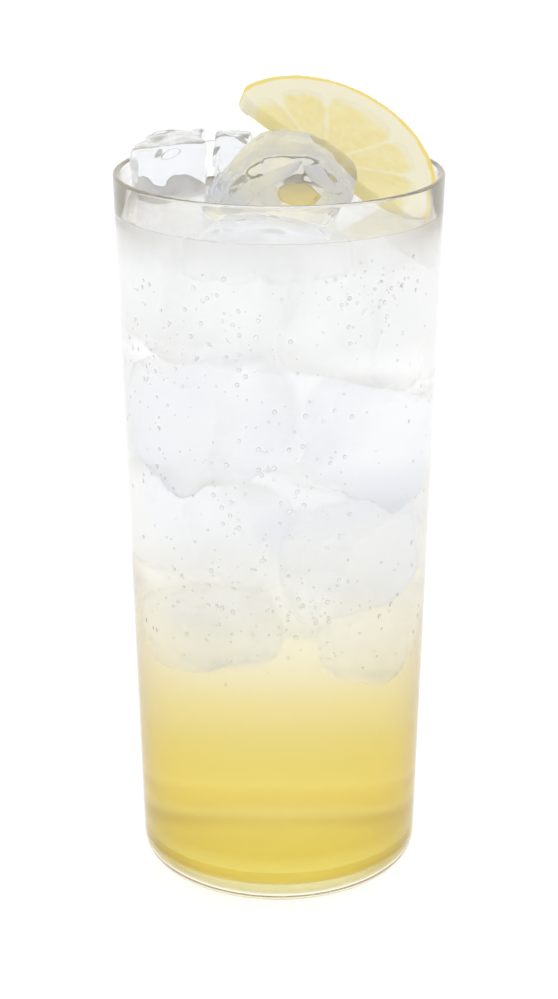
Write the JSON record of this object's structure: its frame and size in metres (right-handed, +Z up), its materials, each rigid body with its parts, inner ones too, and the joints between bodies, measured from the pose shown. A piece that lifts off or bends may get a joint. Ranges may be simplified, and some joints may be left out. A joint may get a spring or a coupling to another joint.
{
  "type": "glass of lemonade",
  "caption": "Tall straight-sided tumbler of clear yellow lemonade with lumps of ice and a half slice of lemon standing out of the top; a cold drink to set on a table or tray",
  "frame": {"origin": "centre of the glass's flat underside", "axes": "+Z up along the glass's axis; -Y towards the viewer of the picture; +X to the viewer's right, where the lemon slice leans"},
  "size_m": [0.0724, 0.0724, 0.1824],
  "materials": {
    "clear_glass": "clear, polished",
    "lemonade": "clear yellow liquid, paler towards the top",
    "ice": "wet, clear with white cores",
    "lemon": "moist, pale flesh, white pith and yellow rind"
  },
  "bodies": {
    "root": {"glass": "clear_glass", "drink": "lemonade", "ice_left": "ice", "ice_middle": "ice", "ice_back": "ice", "ice_front": "ice", "lemon_slice": "lemon"}
  },
  "joints": []
}
